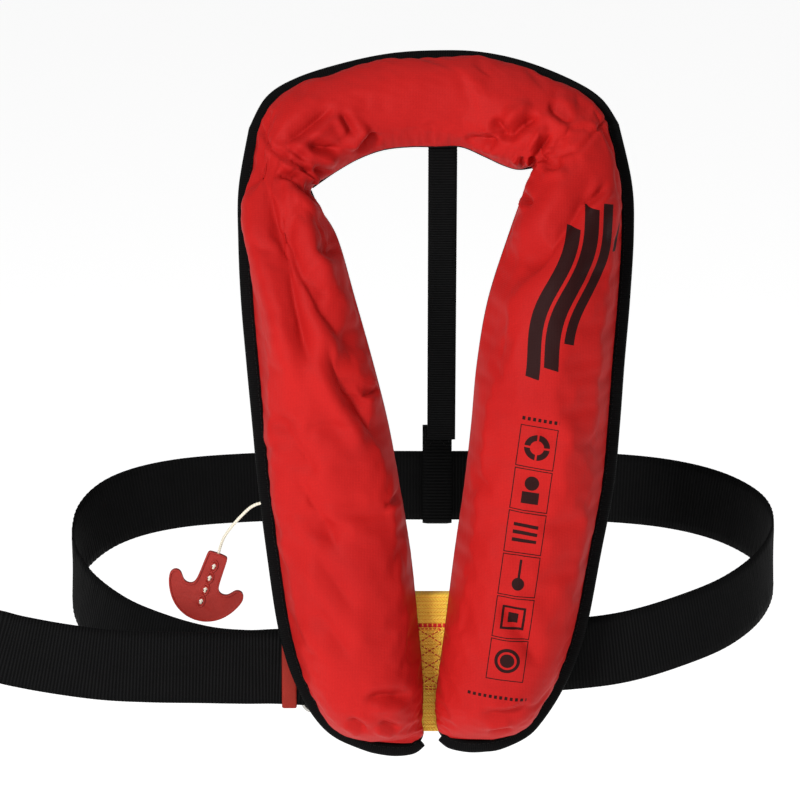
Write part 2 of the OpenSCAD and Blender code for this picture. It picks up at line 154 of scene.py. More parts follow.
# ---------------------------------------------------------------- shader maths
class Number:
    """A number that varies over a surface, so that patterns read as plain expressions."""

    def __init__(self, finish, socket):
        self.finish = finish
        self.socket = socket

    def _join(self, operation, *values):
        node = self.finish.node("ShaderNodeMath", {"operation": operation}, dict(enumerate(values)))
        return Number(self.finish, node.outputs[0])

    def __add__(self, other):
        return self._join("ADD", self, other)

    __radd__ = __add__

    def __sub__(self, other):
        return self._join("SUBTRACT", self, other)

    def __rsub__(self, other):
        return self._join("SUBTRACT", other, self)

    def __mul__(self, other):
        return self._join("MULTIPLY", self, other)

    __rmul__ = __mul__

    def __truediv__(self, other):
        return self._join("DIVIDE", self, other)

    def __lt__(self, other):
        return self._join("LESS_THAN", self, other)

    def __abs__(self):
        return self._join("ABSOLUTE", self)

    def most(self, other):
        return self._join("MAXIMUM", self, other)

    def sine(self):
        return self._join("SINE", self)

    def repeat(self, length):
        """The place within a pattern that repeats every length, from 0 to length."""
        return self._join("FLOORED_MODULO", self, length)

    def root(self):
        return self._join("SQRT", self)

    def clear(self, low, high):
        """0 below low, 1 above high, and smooth between."""
        node = self.finish.node("ShaderNodeMapRange", {"interpolation_type": "SMOOTHSTEP"},
                                {"Value": self, "From Min": low, "From Max": high})
        return Number(self.finish, node.outputs["Result"])


class Finish:
    """One material: constants on the shader itself, patterns through nodes."""

    def __init__(self, name, colour, roughness, **constants):
        self.material = bpy.data.materials.new(name)
        self.material.use_nodes = True
        self.tree = self.material.node_tree
        self.shader = self.tree.nodes["Principled BSDF"]
        self.shader.inputs["Base Color"].default_value = (*colour, 1)
        self.shader.inputs["Roughness"].default_value = roughness
        for words, value in constants.items():
            socket = words.replace("_", " ").title().replace("Ior", "IOR")
            self.shader.inputs[socket].default_value = value
        self.coordinates = self.node("ShaderNodeTexCoord")

    def node(self, kind, settings=None, values=None):
        node = self.tree.nodes.new(kind)
        for key, value in (settings or {}).items():
            setattr(node, key, value)
        for key, value in (values or {}).items():
            socket = node.inputs[key]
            if isinstance(value, Number):
                self.tree.links.new(value.socket, socket)
            elif isinstance(value, bpy.types.NodeSocket):
                self.tree.links.new(value, socket)
            else:
                socket.default_value = value
        return node

    def place(self):
        """x, y and z over the surface, in metres."""
        split = self.node("ShaderNodeSeparateXYZ", None, {0: self.coordinates.outputs["Object"]})
        return [Number(self, s) for s in split.outputs]

    def along_across(self):
        """The piece's own lengthwise and crosswise places, in metres."""
        split = self.node("ShaderNodeSeparateXYZ", None, {0: self.coordinates.outputs["UV"]})
        return Number(self, split.outputs[0]), Number(self, split.outputs[1])

    def noise(self, scale, detail=2.0, stretch=None):
        where = self.coordinates.outputs["Object"]
        if stretch:
            stretched = self.node("ShaderNodeMapping", None, {"Vector": where, "Scale": stretch})
            where = stretched.outputs[0]
        values = {"Vector": where, "Scale": scale, "Detail": detail}
        node = self.node("ShaderNodeTexNoise", None, values)
        return Number(self, node.outputs["Fac"])

    def mix(self, share, first, second):
        """A colour between two colours."""
        pair = {i: (*c, 1) if isinstance(c, tuple) else c for i, c in ((6, first), (7, second))}
        node = self.node("ShaderNodeMix", {"data_type": "RGBA"}, {0: share, **pair})
        return node.outputs[2]

    def colour(self, value):
        self.tree.links.new(value, self.shader.inputs["Base Color"])

    def rough(self, value):
        self.tree.links.new(value.socket, self.shader.inputs["Roughness"])

    def bump(self, height, depth, strength=1.0):
        values = {"Strength": strength, "Distance": depth, "Height": height}
        node = self.node("ShaderNodeBump", None, values)
        self.tree.links.new(node.outputs[0], self.shader.inputs["Normal"])
        return self.material


# ---------------------------------------------------------------- materials
RED = (0.46, 0.0115, 0.0100)
RED_DEEP = (0.36, 0.0085, 0.0085)
BLACK = (0.0016, 0.0016, 0.0017)
INK = (0.008, 0.004, 0.004)


def weave(finish, along, across, thread):
    """A plain weave's height, from 0 to 1, with that many metres to a thread."""
    turn = math.pi / thread
    return ((along * turn).sine() * (across * turn).sine()) * 0.5 + 0.5


def cover_cloth(name, printing=None):
    cloth = Finish(name, RED, 0.6, specular_ior_level=0.07)
    x, y, z = cloth.place()
    threads = weave(cloth, x + z, z - x, 0.0011)
    patches = cloth.noise(14, 3)
    fine = cloth.noise(900, 1)
    shade = (patches * 0.5 + threads * 0.25 + fine * 0.25).clear(0.25, 0.75)
    base = cloth.mix(shade, RED_DEEP, RED)
    if printing:
        ink = printing(cloth, x, z)
        base = cloth.mix(ink * 0.97, base, INK)
    cloth.colour(base)
    cloth.rough(patches * 0.14 + 0.5)
    creased = cloth.noise(55, 3, (1.0, 1.0, 0.45))
    return cloth.bump(threads * 0.16 + creased * 0.84, 0.0011, 0.55)


def inside(along, across, centre, half):
    """1 within a rectangle and 0 outside it, with a soft edge."""
    edge = (abs(along - centre[0]) - half[0]).most(abs(across - centre[1]) - half[1])
    return 1 - edge.clear(-0.0002, 0.0002)


def ring(along, across, centre, radius, half_line):
    """1 on a circle's line; a half line as large as the radius fills the circle."""
    u = along - centre[0]
    v = across - centre[1]
    return 1 - (abs((u * u + v * v).root() - radius + half_line) - half_line).clear(-0.0002, 0.0002)


def slanted(x, z, degrees):
    """Places across and along a line that leans to the right by that angle."""
    c, d = math.cos(math.radians(degrees)), math.sin(math.radians(degrees))
    return x * c - z * d, z * c + x * d


def lobe_printing(cloth, x, z):
    """Plain shapes on the right lobe: three waving stripes and a strip of six picture boxes."""
    u, v = slanted(x, z, 17)
    sway = (v * 62).sine() * 0.0042
    ink = inside(u, v, (0.1395, -0.012), (0.0011, 0.010))
    stripes = ((0.1035, 0.0050, -0.118, -0.012), (0.1165, 0.0054, -0.108, 0.004),
               (0.1285, 0.0036, -0.088, 0.009))
    for place, half, low, high in stripes:
        ink = ink.most(inside(u + sway, v, (place, (low + high) / 2), (half, (high - low) / 2)))
    u, v = slanted(x, z, 7.6)
    strip_u, strip_top, box_w, box_h = 0.0969, -0.1690, 0.0136, 0.0152
    for k in range(6):
        centre = (strip_u, strip_top - box_h - k * 0.0315)
        lines = inside(u, v, centre, (box_w, box_h))
        lines = lines - inside(u, v, centre, (box_w - 0.0007, box_h - 0.0007))
        ink = ink.most(lines).most(picture_in_box(u, v, centre, k))
    heading = inside(u, v, (strip_u, strip_top + 0.0052), (box_w, 0.0014))
    footing = inside(u, v, (strip_u - 0.004, strip_top - 0.2010), (0.0220, 0.0012))
    gaps = (u * 1650).sine().clear(-0.5, 0.1)
    edges = (cloth.noise(1400, 1) - 0.5) * 0.3
    return (ink.most(heading * gaps).most(footing * gaps) + edges).clear(0.35, 0.65)


def picture_in_box(u, v, centre, k):
    """A plain sign for each step: a lifebuoy, a loop, three bars, a pull drop, a square, a ring."""
    cu, cv = centre
    if k == 0:
        upright = inside(u, v, centre, (0.0007, 0.012))
        level = inside(u, v, centre, (0.012, 0.0007))
        return (ring(u, v, centre, 0.0092, 0.0021) - upright.most(level)).most(0)
    if k == 1:
        foot = inside(u, v, (cu, cv - 0.0055), (0.0062, 0.0042))
        return ring(u, v, (cu, cv + 0.005), 0.0052, 0.0026).most(foot)
    if k == 2:
        bars = [inside(u, v, (cu, cv + up), (0.0088, 0.0013)) for up in (0.0055, 0, -0.0055)]
        return bars[0].most(bars[1]).most(bars[2])
    if k == 3:
        line = inside(u, v, (cu, cv + 0.004), (0.0009, 0.008))
        return line.most(ring(u, v, (cu, cv - 0.006), 0.0045, 0.00225))
    if k == 4:
        frame_line = inside(u, v, centre, (0.0086, 0.0086)) - inside(u, v, centre, (0.0068, 0.0068))
        return frame_line.most(inside(u, v, centre, (0.0036, 0.0036)))
    return ring(u, v, centre, 0.0092, 0.0012).most(ring(u, v, centre, 0.0052, 0.0026))


def webbing(name, dark, light, rib=0.0024):
    """Ribbed webbing: the ribs cross its width, and fine threads run along them."""
    cloth = Finish(name, dark, 0.6, specular_ior_level=0.045)
    along, across = cloth.along_across()
    ribs = (along * (2 * math.pi / rib)).sine() * 0.5 + 0.5
    threads = (across * (2 * math.pi / 0.0009) + ribs * 2).sine() * 0.5 + 0.5
    worn = cloth.noise(60, 3)
    tone = (ribs * 0.45 + threads * 0.25 + worn * 0.3).clear(0.35, 0.85)
    cloth.colour(cloth.mix(tone, dark, light))
    cloth.rough(0.72 - ribs * 0.14)
    return cloth.bump(threads * 0.5 + ribs * 0.5, 0.0003, 0.7)


def herringbone(name):
    """Yellow webbing in rows of slanting threads that change direction from row to row."""
    cloth = Finish(name, (0.83, 0.38, 0.03), 0.5, sheen_weight=0.1, specular_ior_level=0.4)
    along, across = cloth.along_across()
    row = 0.0027
    flip = ((along / row).repeat(2) < 1) * 2 - 1
    slant = ((across + flip * along.repeat(row)) * (2 * math.pi / 0.0022)).sine() * 0.5 + 0.5
    gutter = (abs(along.repeat(row) - row / 2) / (row / 2)).clear(0.7, 1.0)
    tone = (slant * 0.4 + (1 - gutter) * 0.6).clear(0.1, 0.95)
    # Both yellows are set lighter than the webbing's own colour: painted light that makes up for the
    # shade the loop lies in between the lobes.
    cloth.colour(cloth.mix(tone, (0.93, 0.36, 0.012), (1.0, 0.66, 0.07)))
    return cloth.bump(slant - gutter * 0.6, 0.0005, 0.8)


def lining_cloth(name):
    cloth = Finish(name, (0.010, 0.010, 0.011), 0.7, specular_ior_level=0.08)
    x, y, z = cloth.place()
    threads = weave(cloth, x, z, 0.0014)
    cloth.colour(cloth.mix((threads * 0.5 + cloth.noise(40, 3) * 0.5).clear(0.2, 0.8),
                           (0.004, 0.004, 0.0045), (0.011, 0.011, 0.012)))
    return cloth.bump(threads * 0.3 + cloth.noise(70, 3) * 0.7, 0.0009, 0.5)


def bladder_cloth(name):
    cloth = Finish(name, (0.85, 0.55, 0.03), 0.42, coat_weight=0.1)
    creases = cloth.noise(45, 5, (1.0, 1.0, 3.0))
    # The colour follows the crease height and is darker in the hollows: painted shade in the creases.
    cloth.colour(cloth.mix(creases.clear(0.3, 0.7), (0.70, 0.36, 0.015), (0.90, 0.62, 0.05)))
    cloth.rough(creases * 0.25 + 0.32)
    return cloth.bump(creases, 0.004, 0.8)


def moulded(name, dark, light, roughness, grain, specular):
    """Moulded plastic or rubber: faint flow marks, fine grain and paler rubbed places."""
    plastic = Finish(name, light, roughness, specular_ior_level=specular)
    flow = plastic.noise(30, 4)
    grit = plastic.noise(1100, 1)
    plastic.colour(plastic.mix((flow * 0.7 + grit * 0.3).clear(0.3, 0.7), dark, light))
    plastic.rough(flow * 0.18 + (roughness - 0.09))
    return plastic.bump(grit * 0.6 + flow * 0.4, 0.00025 * grain, 0.5)


def metal(name, dark, light, roughness):
    """Drawn or plated metal with fine lines and duller patches."""
    steel = Finish(name, light, roughness, metallic=1.0)
    lines = steel.noise(300, 2, (1.0, 1.0, 14.0))
    patches = steel.noise(35, 3)
    steel.colour(steel.mix((lines * 0.4 + patches * 0.6).clear(0.3, 0.7), dark, light))
    steel.rough(lines * 0.12 + patches * 0.12 + (roughness - 0.1))
    return steel.bump(lines, 0.0001, 0.3)


def braid(name, dark, light):
    """Braided cord, with strands that cross as they go round."""
    cord = Finish(name, light, 0.5, specular_ior_level=0.3)
    along, across = cord.along_across()
    one = ((along * 2600) + across * 6.283).sine()
    other = ((along * 2600) - across * 6.283).sine()
    strands = one.most(other) * 0.5 + 0.5
    cord.colour(cord.mix(strands.clear(0.2, 0.9), dark, light))
    return cord.bump(strands, 0.00015, 0.5)


# Name, darker and lighter colour, roughness, grain and specular level of each moulded material
MOULDED = {
    "red_thread": ("dark_red_thread", (0.55, 0.012, 0.02), (0.80, 0.02, 0.03), 0.6, 1.0, 0.22),
    "black_thread": ("black_thread", (0.004,) * 3, (0.010,) * 3, 0.5, 1.0, 0.08),
    "black_plastic": ("black_moulding", (0.012, 0.012, 0.013), (0.030, 0.030, 0.032), 0.45, 1.0, 0.22),
    "red_plastic": ("red_moulding", (0.26, 0.016, 0.011), (0.35, 0.024, 0.017), 0.46, 1.4, 0.22),
    "keeper_plastic": ("keeper_moulding", (0.19, 0.013, 0.008), (0.26, 0.020, 0.012), 0.42, 1.0, 0.1),
    "yellow_plastic": ("yellow_moulding", (0.75, 0.42, 0.02), (0.88, 0.56, 0.04), 0.35, 1.0, 0.22),
    "orange_plastic": ("orange_moulding", (0.75, 0.16, 0.015), (0.90, 0.24, 0.03), 0.35, 1.0, 0.22),
    "rubber": ("black_rubber", (0.014,) * 3, (0.028,) * 3, 0.65, 1.0, 0.22),
    "cartridge": ("pressed_paper", (0.62, 0.56, 0.38), (0.76, 0.71, 0.54), 0.85, 3.0, 0.22)}


def make_finishes():
    finishes = {slot: moulded(*values) for slot, values in MOULDED.items()}
    finishes.update({
        "cover_fabric": cover_cloth("red_cover_cloth"),
        "printed_fabric": cover_cloth("printed_cover_cloth", lobe_printing),
        "black_webbing": webbing("black_belt_webbing", BLACK, (0.0050, 0.0050, 0.0052)),
        "binding_tape": webbing("black_edge_tape", BLACK, (0.0048, 0.0048, 0.0050), 0.0016),
        "lining": lining_cloth("black_lining"),
        "bladder_film": bladder_cloth("yellow_bladder_cloth"),
        "yellow_webbing": herringbone("yellow_herringbone_webbing"),
        "steel": metal("bright_steel", (0.28, 0.27, 0.25), (0.48, 0.47, 0.44), 0.32),
        "gas_steel": metal("plated_gas_cylinder", (0.42, 0.43, 0.44), (0.66, 0.66, 0.66), 0.34),
        "cord": braid("cream_braid", (0.62, 0.57, 0.44), (0.78, 0.74, 0.62))})
    return finishes


# ---------------------------------------------------------------- curves and surfaces
def lay(z):
    """How far back the lining lies at a height: flat on the chest, leaning over the shoulders."""
    return -60 if z < -150 else -60 + 60 * ((z + 150) / 150) ** 1.6


def smooth(points, steps):
    """Points on a smooth curve through the given ones, in that many steps from each to the next."""
    p = np.array(points, float)
    if p.ndim == 1:
        p = p[:, None]
    pad = np.vstack([p[:1], p, p[-1:], p[-1:]])
    rows = []
    for i in range(len(p) - 1):
        a, b, c, d = pad[i:i + 4]
        for u in np.arange(steps) / steps:
            rows.append(0.5 * (2 * b + (c - a) * u + (2 * a - 5 * b + 4 * c - d) * u * u
                               + (3 * b - a - 3 * c + d) * u ** 3))
    rows.append(p[-1])
    return np.array(rows)


def unit(v):
    return v / np.maximum(np.linalg.norm(v, axis=-1, keepdims=True), 1e-9)


def along(points):
    """Direction of travel at each point of a line."""
    return unit(np.gradient(points, axis=0))


def distances(points):
    """How far along the line each of its points is."""
    return np.concatenate([[0], np.cumsum(np.linalg.norm(np.diff(points, axis=0), axis=1))])


def resample(points, count):
    s = distances(points)
    t = np.linspace(0, s[-1], count)
    return np.stack([np.interp(t, s, points[:, k]) for k in range(points.shape[1])], axis=1)


def bumps(x, y, sizes, seed):
    """Soft random hills over a surface, from about -1 to 1, of the given sizes in millimetres."""
    rng = np.random.default_rng(seed)
    total = np.zeros(np.broadcast(x, y).shape)
    for size in sizes:
        for _ in range(6):
            turn = rng.uniform(0, math.pi)
            run = x * math.cos(turn) + y * math.sin(turn)
            wave = run * 2 * math.pi / (size * rng.uniform(0.8, 1.3))
            total += np.sin(wave + rng.uniform(0, 6.28)) / 6 ** 0.5
    return total / max(len(sizes), 1) ** 0.5


def deselect():
    for o in bpy.context.selected_objects:
        o.select_set(False)


def only(obj):
    deselect()
    obj.select_set(True)
    bpy.context.view_layer.objects.active = obj
    return obj


def new_piece(name, verts, faces, uvs=None):
    """A mesh from points in millimetres; uvs holds each point's lengthwise and crosswise place."""
    mesh = bpy.data.meshes.new(name)
    places = (np.asarray(verts, float) * MM).tolist()
    mesh.from_pydata(places, [], [tuple(int(i) for i in f) for f in faces])
    mesh.update()
    if uvs is not None:
        layer = mesh.uv_layers.new(name="run")
        corner = np.empty(len(mesh.loops), np.int32)
        mesh.loops.foreach_get("vertex_index", corner)
        uvs = (np.asarray(uvs, float) * MM)[corner]
        layer.data.foreach_set("uv", uvs.ravel().astype(np.float32))
    obj = bpy.data.objects.new(name, mesh)
    bpy.context.scene.collection.objects.link(obj)
    return obj


def read_points(items, key):
    """Three numbers for each vertex or face, one row to each."""
    values = np.empty(len(items) * 3)
    items.foreach_get(key, values)
    return values.reshape(-1, 3)


def move_points(mesh, places):
    mesh.vertices.foreach_set("co", places.ravel())
    mesh.update()


def outwards(obj):
    """Welds doubles, turns the faces outwards and shades them smoothly."""
    work = bmesh.new()
    work.from_mesh(obj.data)
    bmesh.ops.remove_doubles(work, verts=work.verts, dist=1e-6)
    bmesh.ops.recalc_face_normals(work, faces=work.faces)
    work.to_mesh(obj.data)
    work.free()
    obj.data.polygons.foreach_set("use_smooth", [True] * len(obj.data.polygons))
    obj.data.update()
    return obj


def smooth_by_angle(obj, degrees=40):
    only(obj)
    bpy.ops.object.shade_smooth_by_angle(angle=math.radians(degrees))
    return obj


def apply_modifiers(obj):
    only(obj)
    for modifier in list(obj.modifiers):
        bpy.ops.object.modifier_apply(modifier=modifier.name)
    return obj


def add_modifier(obj, kind, **settings):
    modifier = obj.modifiers.new(kind.lower(), kind)
    for key, value in settings.items():
        setattr(modifier, key, value)
    return obj


def tube_faces(rings, sides):
    """The faces of a tube made of rings of points, closed at both ends."""
    faces = []
    for i in range(rings - 1):
        for j in range(sides):
            a, b = i * sides + j, i * sides + (j + 1) % sides
            faces.append((a, b, b + sides, a + sides))
    faces.append(tuple(range(sides))[::-1])
    faces.append(tuple((rings - 1) * sides + j for j in range(sides)))
    return faces


def sweep(name, route, profile, side):
    """A closed profile carried along a route; side is the direction of the profile's first axis."""
    route = np.asarray(route, float)
    travel = along(route)
    side = unit(np.broadcast_to(np.asarray(side, float), route.shape)
                - np.sum(np.asarray(side, float) * travel, axis=1, keepdims=True) * travel)
    up = np.cross(travel, side)
    profile = np.asarray(profile, float)
    if profile.ndim == 2:
        profile = np.broadcast_to(profile, (len(route), *profile.shape))
    rings = route[:, None] + profile[..., :1] * side[:, None] + profile[..., 1:] * up[:, None]
    n, m = rings.shape[:2]
    s = distances(route)
    uvs = np.stack([np.repeat(s, m), profile[..., 0].ravel()], axis=1)
    obj = new_piece(name, rings.reshape(-1, 3), tube_faces(n, m), uvs)
    return outwards(obj)


def cord_piece(name, route, diameter, sides=10):
    """A round cord or wire along a route."""
    turn = np.arange(sides) * 2 * math.pi / sides
    profile = np.stack([np.cos(turn), np.sin(turn)], axis=1) * diameter / 2
    route = np.asarray(route, float)
    travel = along(route)
    side = np.cross(travel, np.array([0.3, 1.0, 0.1]))
    return sweep(name, route, profile, unit(side))


def webbing_profile(width, thickness, count=14):
    """A flat ribbon's cross-section with rounded edges that taper thinner."""
    t = np.linspace(-1, 1, count)
    edge = 1 - 0.55 * np.clip((np.abs(t) - 0.93) / 0.07, 0, 1) ** 2
    half = thickness / 2 * edge
    top = np.stack([t * width / 2, half], axis=1)
    bottom = np.stack([t[::-1] * width / 2, -half[::-1]], axis=1)
    return np.vstack([top, bottom])


def ribbon(name, route, wide, width, thickness, rib=2.4, rise=0.16, count=14):
    """Webbing along a route, with its ribs as real relief across the width."""
    route = np.asarray(route, float)
    length = distances(route)[-1]
    route = resample(route, max(12, int(length / (rib / 4))))
    s = distances(route)
    profile = webbing_profile(width, thickness, count)
    profile = np.broadcast_to(profile, (len(route), 2 * count, 2)).copy()
    wave = rise * np.cos(s * 2 * math.pi / rib)
    sign = np.concatenate([np.ones(count), -np.ones(count)])
    profile[..., 1] += wave[:, None] * sign
    edge = 0.18 * np.cos(s * 2 * math.pi / rib + math.pi)
    profile[..., 0] *= 1 + edge[:, None] / width
    return sweep(name, route, profile, wide)


def finish_piece(obj, body, finish, slot, *nodes):
    obj.data.materials.clear()
    obj.data.materials.append(FINISHES[finish])
    if body:
        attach(obj, body)
    if nodes:
        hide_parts(*nodes)
    return obj


FINISHES = make_finishes()

# ---------------------------------------------------------------- camera
# It looks along +Y, a little down, from five metres
LOOK_AT = Vector((-0.026, -0.060, -0.172))
camera_data = bpy.data.cameras.new("camera")
camera_data.sensor_width = 36
camera_data.lens = 312.5
camera = bpy.data.objects.new("camera", camera_data)
camera.location = LOOK_AT + Vector((0, -math.cos(math.radians(12)), math.sin(math.radians(12)))) * 5
camera.rotation_euler = (math.radians(90 - 12), 0, 0)
bpy.context.scene.collection.objects.link(camera)
bpy.context.scene.camera = camera


# ---------------------------------------------------------------- pull cord, handle and lanyard
def primitive(kind, name, **settings):
    deselect()
    getattr(bpy.ops.mesh, f"primitive_{kind}_add")(**settings)
    obj = bpy.context.active_object
    obj.name = name
    obj.data.name = name
    return obj


def edit(obj, choose=None):
    """Edit mode on faces, with all of them selected or only those that choose picks."""
    only(obj)
    for polygon in obj.data.polygons:
        polygon.select = choose is None or bool(choose(polygon))
    for edge in obj.data.edges:
        edge.select = choose is None
    for vertex in obj.data.vertices:
        vertex.select = choose is None
    bpy.context.tool_settings.mesh_select_mode = (False, False, True)
    bpy.ops.object.mode_set(mode="EDIT")


def leave_edit():
    bpy.ops.mesh.select_all(action="SELECT")
    bpy.ops.mesh.normals_make_consistent(inside=False)
    bpy.ops.object.mode_set(mode="OBJECT")


def put(obj, matrix):
    obj.data.transform(matrix)
    obj.data.update()
    return obj


def cut_away(obj, *cutters):
    for cutter in cutters:
        add_modifier(obj, "BOOLEAN", object=cutter, operation="DIFFERENCE", solver="EXACT")
    apply_modifiers(obj)
    for cutter in cutters:
        bpy.data.objects.remove(cutter, do_unlink=True)
    return obj


def handle_outline():
    """The anchor's edge: a stem and two blunt arms over a curved foot, in millimetres."""
    right = [(0, -52.5), (6, -51.8), (12, -49.6), (17.5, -46), (22.3, -40.8), (26, -34.6),
             (28.2, -28.5), (28.1, -24.6), (26.2, -22), (23.4, -21.4), (20.8, -22.6), (18.8, -25),
             (16.6, -27.2), (13.4, -28), (10.4, -27), (8.8, -24), (8.2, -18), (7.9, -10), (7.6, -3),
             (6.9, -1), (5, -0.3), (0, 0)]
    right = smooth(right, 3)
    left = right[::-1][1:-1] * (-1, 1)
    return np.vstack([right, left])


HANDLE_PLACE = Matrix.Translation(Vector(HANDLE_TOP) * MM) @ Matrix.Rotation(
    math.radians(HANDLE_TILT), 4, "Y")


def make_handle():
    shape = handle_outline()
    obj = primitive("circle", "anchor_pull_handle", vertices=len(shape), radius=0.02,
                    fill_type="NGON")
    for vertex, (x, z) in zip(obj.data.vertices, shape):
        vertex.co = Vector((x, HANDLE_T / 2, z)) * MM
    edit(obj)
    bpy.ops.mesh.extrude_region_move(TRANSFORM_OT_translate={"value": (0, -HANDLE_T * MM, 0)})
    leave_edit()
    holes = [primitive("cylinder", f"eyelet_{k}", vertices=24, radius=0.0015, depth=0.02,
                       location=(0, 0, (-10 - 9.3 * k) * MM), rotation=(math.pi / 2, 0, 0))
             for k in range(4)]
    cut_away(obj, *holes)
    for side in (-1, 1):
        edit(obj, lambda f: f.normal.y * side > 0.9)
        bpy.ops.mesh.inset(thickness=0.0011, depth=0)
        bpy.ops.mesh.inset(thickness=0.0004, depth=-0.0009)
        leave_edit()
    add_modifier(obj, "BEVEL", width=0.0006, segments=3, limit_method="ANGLE",
                 angle_limit=math.radians(50), use_clamp_overlap=True)
    apply_modifiers(obj)
    smooth_by_angle(obj, 35)
    return put(obj, HANDLE_PLACE)


def eyelet_rims():
    """Raised oval rims round the eyelets, linked like a chain, on both faces of the handle."""
    turn = np.linspace(0, 2 * math.pi, 33)
    rims = []
    for face in (-1, 1):
        for k in range(4):
            route = np.stack([2.5 * np.cos(turn), turn * 0 + face * (HANDLE_T / 2 - 0.75),
                              -10 - 9.3 * k + 4.3 * np.sin(turn)], axis=1)
            rims.append(cord_piece("eyelet_rims", route, 1.3, 8))
    only(rims[0])
    for rim in rims:
        rim.select_set(True)
    bpy.ops.object.join()
    return put(rims[0], HANDLE_PLACE)


def lacing_route():
    """The cord's last run: behind the stem, up through each eyelet in a small loop, and a knot."""
    points = [(0, 0, 1.0), (0, 3.0, -2.0)]
    for k in range(4):
        v = -10 - 9.3 * k
        points += [(0.1, 3.4, v + 3.8), (0, 0.6, v + 2.3), (0, -2.2, v + 1.2), (0, -2.7, v),
                   (0, -2.2, v - 1.2), (0, 0.6, v - 2.3), (-0.1, 3.4, v - 3.8)]
    return points + [(2.6, 4.4, -43), (0, 5.6, -45.4), (-2.4, 4.4, -43.4), (0.2, 4.2, -41.4),
                     (2.2, 5.2, -45.6)]


def make_cords():
    handle = finish_piece(make_handle(), "pull", "red_plastic", "red_plastic", "pull_handle")
    rims = finish_piece(eyelet_rims(), "pull", "red_plastic", "red_plastic")
    lacing = cord_piece("handle_lacing", smooth(lacing_route(), 5), 1.9, 8)
    put(lacing, HANDLE_PLACE)
    finish_piece(lacing, "pull", "cord", "cord")
    route = smooth(CORD_ROUTE, 8)
    pull = cord_piece("braided_pull_cord", route, CORD_D)
    finish_piece(pull, None, "cord", "cord", "pull_cord")
    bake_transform(pull)
    route = smooth(LANYARD_ROUTE, 8)
    lanyard = cord_piece("whistle_cord", route, 1.6)
    finish_piece(lanyard, None, "orange_plastic", "cord", "whistle_lanyard")
    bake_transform(lanyard)


make_cords()


# ---------------------------------------------------------------- padded cover
PER_STATION = 9
ARC = 56
BACK = 10


def section_line(fullness, count):
    """Even steps along a padded section: share across and share of the rise at each."""
    a = np.linspace(0, math.pi, 400)
    softer = 0.3 * np.clip(1 - a / 1.2, 0, 1)
    return (1 - np.cos(a)) / 2, np.maximum(np.sin(a), 0) ** (fullness + softer)


def horseshoe(per):
    """Rings' binding edge, cloth edge, inner edge, depth and outward direction, right round."""
    edges = [smooth([(s[k], lay(s[k + 1]), s[k + 1]) for s in HORSESHOE], per) for k in (0, 2)]
    depth = smooth([s[4] for s in HORSESHOE], per)[:, 0]
    lean = smooth([s[5] for s in HORSESHOE], per)[:, 0]
    outer, inner = edges
    cloth_edge = outer + unit(inner - outer) * (TAPE_W + 0.5)
    out = unit(np.stack([lean * 0, lean * 0 - 1, lean], axis=1))
    return outer, cloth_edge, inner, depth, out


def cover_points():
    outer, edge, inner, depth, out = horseshoe(PER_STATION)
    share, rise = section_line(0.6, ARC)
    rings = []
    for e, i, d, o in zip(edge, inner, depth, out):
        line = e + (i - e) * share[:, None] + o * (d * rise)[:, None]
        front = resample(line, ARC)
        back = e + (i - e) * np.linspace(1, 0, BACK + 2)[1:-1, None] + o * 0.1
        rings.append(np.vstack([front, back]))
    rings = np.array(rings)
    from_end = np.minimum(np.arange(len(rings)), np.arange(len(rings))[::-1])
    rings[:, :, 2] += 6.5 * np.exp(-(from_end / (0.9 * PER_STATION)) ** 2)[:, None]
    return rings


def segment_distance(x, z, a, b):
    """Signed distance to a line's segment, and how far along it the nearest point is."""
    ax, az = b[0] - a[0], b[1] - a[1]
    length = math.hypot(ax, az)
    t = np.clip(((x - a[0]) * ax + (z - a[1]) * az) / length ** 2, 0, 1)
    px, pz = x - a[0] - t * ax, z - a[1] - t * az
    side = np.sign(ax * pz - az * px)
    return np.hypot(px, pz) * np.where(side == 0, 1, side), t * length


def line_distance(x, z, line):
    """Signed distance to a curve, and the share of the way along it."""
    line = smooth(line, 4)
    best = np.full(x.shape, 1e9)
    where = np.zeros(x.shape)
    done = 0.0
    for a, b in zip(line[:-1], line[1:]):
        d, t = segment_distance(x, z, a, b)
        nearer = np.abs(d) < np.abs(best)
        best = np.where(nearer, d, best)
        where = np.where(nearer, done + t, where)
        done += math.hypot(b[0] - a[0], b[1] - a[1])
    return best, where / done


def inflate(obj, held, pressure, shrink, cap):
    """Blows the cloth up from inside, with some of its points held, and keeps the moves small."""
    start = read_points(obj.data.vertices, "co")
    group = obj.vertex_groups.new(name="held")
    group.add([int(i) for i in held], 1.0, "REPLACE")
    cloth = obj.modifiers.new("cloth", "CLOTH")
    settings = cloth.settings
    settings.quality = 6
    settings.mass = 0.15
    settings.vertex_group_mass = "held"
    settings.use_pressure = True
    settings.uniform_pressure_force = pressure
    settings.shrink_min = shrink
    settings.tension_stiffness = 8
    settings.compression_stiffness = 8
    settings.shear_stiffness = 3
    settings.bending_stiffness = 0.06
    settings.effector_weights.gravity = 0
    cloth.point_cache.frame_start = 1
    cloth.point_cache.frame_end = 20
    for step in range(1, 21):
        bpy.context.scene.frame_set(step)
    apply_modifiers(obj)
    bpy.context.scene.frame_set(1)
    move = read_points(obj.data.vertices, "co") - start
    far = np.linalg.norm(move, axis=1)
    move *= (np.minimum(far, cap * MM) / np.maximum(far, 1e-9))[:, None]
    obj.vertex_groups.clear()
    move_points(obj.data, start + move)
    return obj


